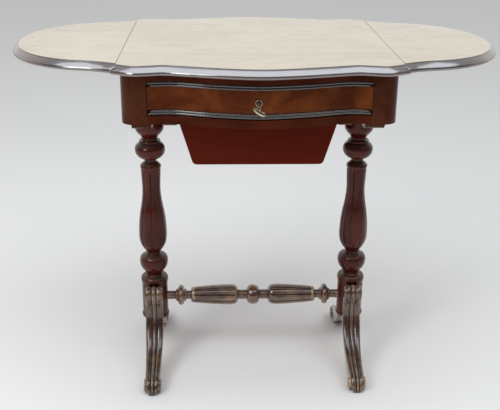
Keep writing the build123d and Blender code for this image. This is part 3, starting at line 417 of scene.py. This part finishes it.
def hinge_pockets(sides):
    """Shallow pockets under the top for the brass flaps, with a gullet for each knuckle."""
    bm = bmesh.new()
    for side in sides:
        for middle in (-HINGE_Y, HINGE_Y):
            ends = []
            for y in (middle - POCKET_HALF, middle + POCKET_HALF):
                outline = [(side * (JOINT_X + x), y, TOP_Z - TOP_THICK + z) for x, z in POCKET]
                ends.append([bm.verts.new(corner) for corner in outline])
            for i in range(len(POCKET)):
                j = (i + 1) % len(POCKET)
                bm.faces.new((ends[0][i], ends[0][j], ends[1][j], ends[1][i]))
            bm.faces.new(ends[0][::-1])
            bm.faces.new(ends[1])
    bmesh.ops.recalc_face_normals(bm, faces=bm.faces)
    return bm


def cut_board(bm, y, keep_front):
    """Keeps the part of a slab in front of, or behind, a plane square to Y."""
    geometry = bm.verts[:] + bm.edges[:] + bm.faces[:]
    made = bmesh.ops.bisect_plane(bm, geom=geometry, plane_co=(0, y, 0), plane_no=(0, 1, 0),
                                  clear_outer=keep_front, clear_inner=not keep_front)
    edges = [g for g in made["geom_cut"] if isinstance(g, bmesh.types.BMEdge)]
    bmesh.ops.holes_fill(bm, edges=edges, sides=0)


def dress_top(obj):
    """The flat face's varnish, pale with a painted reflection of the bright room, and the darker one on the
    moulded edge and underneath.
    """
    obj.data.materials.append(top_wood_painted_reflection)
    obj.data.materials.append(edge_wood)
    for polygon in obj.data.polygons:
        flat = polygon.normal.z > 0.999 and polygon.center.z > (TOP_Z - 0.1) * MM
        polygon.material_index = 0 if flat else 1


for name, keep_front, shift in (("front", True, -BOARD_GAP_HALF), ("rear", False, BOARD_GAP_HALF)):
    slab = loft([centre_ring(out, down) for out, down in edge_profile])
    cut_board(slab, BOARD_JOINT_Y + shift, keep_front)
    board = piece(f"top_{name}_moulded", slab, "frame", [f"top_board_{name}"], 24)
    carve(board, hinge_pockets((-1, 1)))
    dress_top(board)

for name, side in (("left", -1), ("right", 1)):
    slab = loft([leaf_ring(out, down, side) for out, down in edge_profile])
    leaf = piece(f"leaf_{name}_moulded", slab, f"leaf_{name}", [f"leaf_{name}"], 24)
    carve(leaf, hinge_pockets((side,)))
    dress_top(leaf)

# ---------------------------------------------------------------- turned pieces
VASE = [(21.8, 461), (20.6, 435), (20.0, 420), (20.4, 406), (21.8, 392), (24.0, 377), (26.7, 363),
        (28.8, 348), (30.2, 334), (30.9, 320), (31.2, 305), (29.4, 291), (24, 278), (16, 268)]
COLUMN_RUNS = [
    [(0, 600), (30.3, 600)],
    [(30.8, 599), (30.8, 557)],
    [(30.8, 557), (29.6, 549), (25, 542), (19.5, 536), (17, 530)],
    [(17, 530), (17, 528), (17.4, 526.4)],
    [(22, 526), (22.8, 523.6), (22, 521)],
    [(23.4, 520.4), (27.8, 517), (31.6, 511), (32.3, 504), (30.8, 497), (25.2, 489.5), (14, 483.6)],
    [(12.6, 483.4), (12.6, 479)],
    [(13.5, 478), (17, 475), (21, 471)],
    [(21.8, 470.6), (22.6, 467.4), (22, 464)],
    [(21.2, 463.4), (21.2, 460.5)],
    [(21.6, 459)] + VASE[1:],
    [(15.2, 266), (15, 260.5)],
    [(16, 259.6), (19.6, 259)],
    [(20.6, 258.4), (27, 255.6), (30.4, 250.5), (31.6, 242.5), (30.4, 234), (27, 226), (21.6, 219)],
    [(20.2, 218), (17.6, 214), (17.5, 207.6)],
    [(18.5, 206.6), (25.2, 206.2)],
    [(26.2, 205.8), (29.6, 202.5), (30.6, 197.5), (29.8, 192), (29, 189.5)],
    [(28.4, 188.8), (28.4, 187.4)],
    [(28.8, 186.8), (28.8, 114)],
    [(28.8, 114), (30.6, 112), (31, 109), (30.4, 106), (28.8, 104)],
    [(27.2, 103), (0, 98)],
]
RIGHT_RUNS = [
    [(9.75, 196), (9.75, 177.5)],
    [(10.6, 176.6), (13.6, 175.6), (14.4, 173.6)],
    [(14.4, 173.2), (17, 171.4), (20, 170.4)],
    [(20.6, 170), (22.9, 167.6), (23.5, 164.5), (22.9, 161.4), (20.6, 159)],
    [(19.6, 158.4), (16.4, 157.2), (14.4, 155.4)],
    [(14.2, 155), (13.6, 153.2), (10.6, 152)],
    [(10.2, 151.4), (9.9, 147), (10.3, 142.6)],
    [(12.5, 141.8), (16.4, 140.6), (17.8, 138)],
    [(17.8, 138), (20, 118), (22.3, 90), (23.7, 64), (23.6, 48), (20.6, 38.5), (13, 34)],
    [(11.4, 33.4), (11.4, 31)],
    [(10.4, 30.6), (11.6, 28.4), (10.4, 26.2)],
    [(10.4, 26.2), (11.6, 24), (10.4, 21.8)],
    [(10.4, 21.8), (11.6, 19.6), (10.4, 17.4)],
    [(11.2, 16.6), (11.2, 15)],
    [(13.4, 14.4), (19.4, 11.2), (22.2, 6), (23, 0)],
]


def dense_runs(runs):
    """Profile points through every run, close together on the curved ones."""
    rows = []
    for run in runs:
        rows.append(smooth(run, 7) if len(run) > 2 else np.linspace(run[0], run[1], 5))
    return np.vstack(rows)


def flute_depth(angle, at, turn, low, high, depth, half_width):
    """Depth of a ring of narrow grooves, rounded off at both ends, and the roundness of their lobes."""
    if not low < at < high:
        return 0.0
    end = min(at - low, high - at)
    fade = math.sqrt(min(end / (2.2 * half_width), 1.0))
    phase = ((angle - turn) * FLUTES / (2 * math.pi)) % 1.0
    off = min(phase, 1 - phase) * 2
    lobe = LOBE_DEPTH * fade * (1 - off) ** 2
    width = half_width * fade
    return lobe + depth * fade * math.exp(-((off / width) ** 2) if width > 0 else 0.0)


def turned(profile, place, segments, flute=None):
    """A bmesh of a turned shape. place turns (radius, along, angle) into a point."""
    rings = []
    for radius, along in profile:
        ring = []
        for k in range(segments):
            angle = 2 * math.pi * k / segments
            r = max(radius - (flute(angle, along) if flute else 0.0), 0.02)
            ring.append(place(r, along, angle))
        rings.append(ring)
    return loft(rings)


FLUTES = 8
VASE_FLUTES = dict(low=272, high=458, depth=1.6, half_width=0.13)
STRETCHER_FLUTES = dict(low=40, high=134, depth=3.4, half_width=0.20)
LOBE_DEPTH = 0.75
column_profile = dense_runs(COLUMN_RUNS)
for name, side in (("left", -1), ("right", 1)):
    twist = -math.pi / 2 + (math.pi / FLUTES if side > 0 else 0.0)

    def on_column(r, z, angle, side=side):
        return (side * COLUMN_X + r * math.cos(angle), r * math.sin(angle), z)

    def column_flute(angle, z, twist=twist):
        return flute_depth(angle, z, twist, **VASE_FLUTES)

    bm = turned(column_profile, on_column, COLUMN_SIDES, column_flute)
    column = piece(f"column_{name}_turned", bm, "frame", [f"column_{name}"])
    column.data.materials.append(turned_wood)

right = dense_runs(RIGHT_RUNS)
left = right[::-1][1:] * [1, -1]
stretcher_profile = np.vstack([right, left])


def on_stretcher(r, x, angle):
    return (x, r * math.cos(angle), STRETCHER_Z + r * math.sin(angle))


def stretcher_flute(angle, x):
    return flute_depth(angle, abs(x), math.pi / FLUTES, **STRETCHER_FLUTES)


bm = turned(stretcher_profile, on_stretcher, STRETCHER_SIDES, stretcher_flute)
stretcher = piece("stretcher_turned", bm, "frame", ["stretcher"])
stretcher.data.materials.append(stretcher_wood)

# ---------------------------------------------------------------- legs
# Each row is a point on the leg's face and the one behind it on its back, as distance out from
# the column's middle and height, then the half width there.
LEG_ROWS = [
    ((27, 186), (22, 184), 14.0), ((33, 191), (22, 180), 16.8), ((43, 192), (22, 175), 18.8),
    ((52, 185), (22, 168), 19.8), ((55, 173), (22, 160), 20.0), ((51, 161), (22, 152), 19.8),
    ((45, 149), (22, 144), 19.6), ((43, 134), (22, 132), 19.6), ((46, 116), (24, 115), 19.6),
    ((55, 96), (33, 92), 19.4), ((70, 76), (48, 70), 18.6), ((90, 59), (68, 47), 17.6),
    ((114, 46), (93, 26), 16.6), ((138, 38), (120, 10), 15.8), ((156, 34), (138, 1), 15.4),
    ((169, 29), (150, 0), 15.0), ((177, 19), (157, 0), 13.8), ((179, 8), (162, 0), 11.0),
    ((176, 0.6), (168, 0), 7.5),
]


# Each reed across half a leg's face, as shares of the half width, and its height.
OUTER_REED = dict(middle=0.62, half_width=0.40, tall=4.8)
MIDDLE_REED = dict(middle=0.0, half_width=0.27, tall=5.6)
FACE_SINK = 3.4
END_SINK = 0.4


def reed(across, middle, half_width, tall):
    """Height of one rounded reed, 0 outside it."""
    return math.sqrt(max(1 - ((across - middle) / half_width) ** 2, 0.0)) * tall


def reed_height(across):
    """Relief of the leg's face: a narrow tall reed down the middle between two broad ones."""
    return max(reed(abs(across), **OUTER_REED), reed(abs(across), **MIDDLE_REED))


def leg_mesh(side, way):
    face = smooth([row[0] for row in LEG_ROWS], 8)
    back = smooth([row[1] for row in LEG_ROWS], 8)
    half = smooth([(i, row[2]) for i, row in enumerate(LEG_ROWS)], 8)[:, 1]
    # the face's own outward direction, to the left of its run from the scroll to the toe
    out = offset(face, -1.0) - face
    rings = []
    count = len(face)
    for i in range(count):
        w = half[i]
        ring = []
        for across in np.sin(np.linspace(-math.pi / 2, math.pi / 2, 49)):
            lift = reed_height(across) - FACE_SINK if i < count - 1 else -END_SINK
            ring.append((w * across, *(face[i] + out[i] * lift)))
        for share in (0.75, 0.45, 0.15):
            edge = face[i] - out[i] * FACE_SINK
            ring.append((w * (0.985 + 0.015 * share), *(back[i] + (edge - back[i]) * share)))
        for across in np.linspace(0.93, -0.93, 9):
            ring.append((w * across, *back[i]))
        for share in (0.15, 0.45, 0.75):
            edge = face[i] - out[i] * FACE_SINK
            ring.append((-w * (0.985 + 0.015 * share), *(back[i] + (edge - back[i]) * share)))
        rings.append([(side * COLUMN_X + x, way * s, max(z, 0.0)) for x, s, z in ring])
    bm = loft(rings)
    for end in (-1, 1):
        toe_curl(bm, side, way, end)
    return bm


CURL = [(14.2, 0.0), (14.2, 4.6), (13.4, 5.6), (11.8, 5.6), (10.9, 4.6), (9.9, 3.4), (8.8, 4.6), (6.8, 6.0),
        (4.0, 6.8), (0.05, 7.0)]


CURL_OUT = 159
CURL_Z = 15.6
CURL_CHEEK = 12.4


def toe_curl(bm, side, way, end):
    """The rolled curl on one cheek of a toe."""
    rings = []
    for r, out in CURL:
        ring = []
        for k in range(CURL_SIDES):
            angle = 2 * math.pi * k / CURL_SIDES
            x = side * COLUMN_X + end * (CURL_CHEEK + out)
            ring.append((x, way * (CURL_OUT + r * math.cos(angle)), CURL_Z + r * math.sin(angle)))
        rings.append(ring)
    loops = [[bm.verts.new(p) for p in ring] for ring in rings]
    for low, high in zip(loops, loops[1:]):
        for i in range(CURL_SIDES):
            j = (i + 1) % CURL_SIDES
            bm.faces.new((low[i], low[j], high[j], high[i]))
    bm.faces.new(loops[0][::-1])
    bm.faces.new(loops[-1])


for name, side in (("left", -1), ("right", 1)):
    for end, way in (("front", -1), ("rear", 1)):
        leg = piece(f"leg_{end}_{name}_carved", leg_mesh(side, way), "frame",
                    [f"leg_{end}_{name}"], 40)
        leg.data.materials.append(leg_wood)

# ---------------------------------------------------------------- floor, light and camera
FLOOR_HALF = 30
floor_bm = bmesh.new()
bmesh.ops.create_grid(floor_bm, x_segments=1, y_segments=1, size=FLOOR_HALF)
floor_mesh = bpy.data.meshes.new("floor")
floor_bm.to_mesh(floor_mesh)
floor_bm.free()
floor = bpy.data.objects.new("floor", floor_mesh)
bpy.context.scene.collection.objects.link(floor)
floor_material = bpy.data.materials.new("pale_floor")
floor_material.use_nodes = True
floor_shader = floor_material.node_tree.nodes["Principled BSDF"]
floor_shader.inputs["Base Color"].default_value = (0.90, 0.86, 0.83, 1)
floor_shader.inputs["Roughness"].default_value = 0.85
floor.data.materials.append(floor_material)


def studio_world():
    """A soft room: bright behind the table and overhead, darker where the viewer stands."""
    world = bpy.data.worlds.new("studio")
    world.use_nodes = True
    tree = world.node_tree
    direction = new_node(tree, "ShaderNodeTexCoord").outputs["Generated"]
    split = new_node(tree, "ShaderNodeSeparateXYZ", {0: direction})
    behind = remap(tree, split.outputs["Y"], -0.3, 0.5)
    level = mix(tree, behind, (0.10, 0.09, 0.09), (0.92, 0.92, 0.87))
    high = remap(tree, split.outputs["Z"], 0.35, 0.9)
    colour = mix(tree, high, level, (0.55, 0.60, 0.66))
    tree.links.new(colour, tree.nodes["Background"].inputs["Color"])
    tree.nodes["Background"].inputs["Strength"].default_value = 1.0
    bpy.context.scene.world = world


studio_world()


def area_light(name, place, target, size, power, colour):
    light = bpy.data.lights.new(name, "AREA")
    light.shape = "RECTANGLE"
    light.size, light.size_y = size
    light.energy = power
    light.color = colour
    obj = bpy.data.objects.new(name, light)
    obj.location = place
    obj.rotation_euler = (Vector(target) - Vector(place)).to_track_quat("-Z", "Y").to_euler()
    bpy.context.scene.collection.objects.link(obj)


area_light("window", (-1.7, -1.9, 2.1), (0, 0, 0.45), (0.9, 1.2), 22, (0.95, 0.98, 1.0))
area_light("ceiling", (0.0, -0.9, 2.9), (0, 0, 0.4), (5.0, 1.8), 58, (0.88, 0.95, 1.0))

LENS = 61.2
SENSOR = 36.0
CAMERA_PLACE = (-0.0798, -1.7426, 1.0738)
camera_data = bpy.data.cameras.new("camera")
camera_data.lens = LENS
camera_data.sensor_width = SENSOR
camera = bpy.data.objects.new("camera", camera_data)
TURN = math.radians(2.35)
TILT = math.radians(21.86)
ROLL = math.radians(0.54)
forward = Vector((math.sin(TURN) * math.cos(TILT), math.cos(TURN) * math.cos(TILT), -math.sin(TILT)))
level_right = Vector((math.cos(TURN), -math.sin(TURN), 0))
level_up = level_right.cross(forward)
right_dir = level_right * math.cos(ROLL) + level_up * math.sin(ROLL)
up_dir = level_up * math.cos(ROLL) - level_right * math.sin(ROLL)
camera.matrix_world = Matrix.Translation(CAMERA_PLACE) @ Matrix(
    (right_dir, up_dir, -forward)).transposed().to_4x4()
bpy.context.scene.collection.objects.link(camera)
bpy.context.scene.camera = camera
bpy.context.scene.view_settings.view_transform = "Standard"
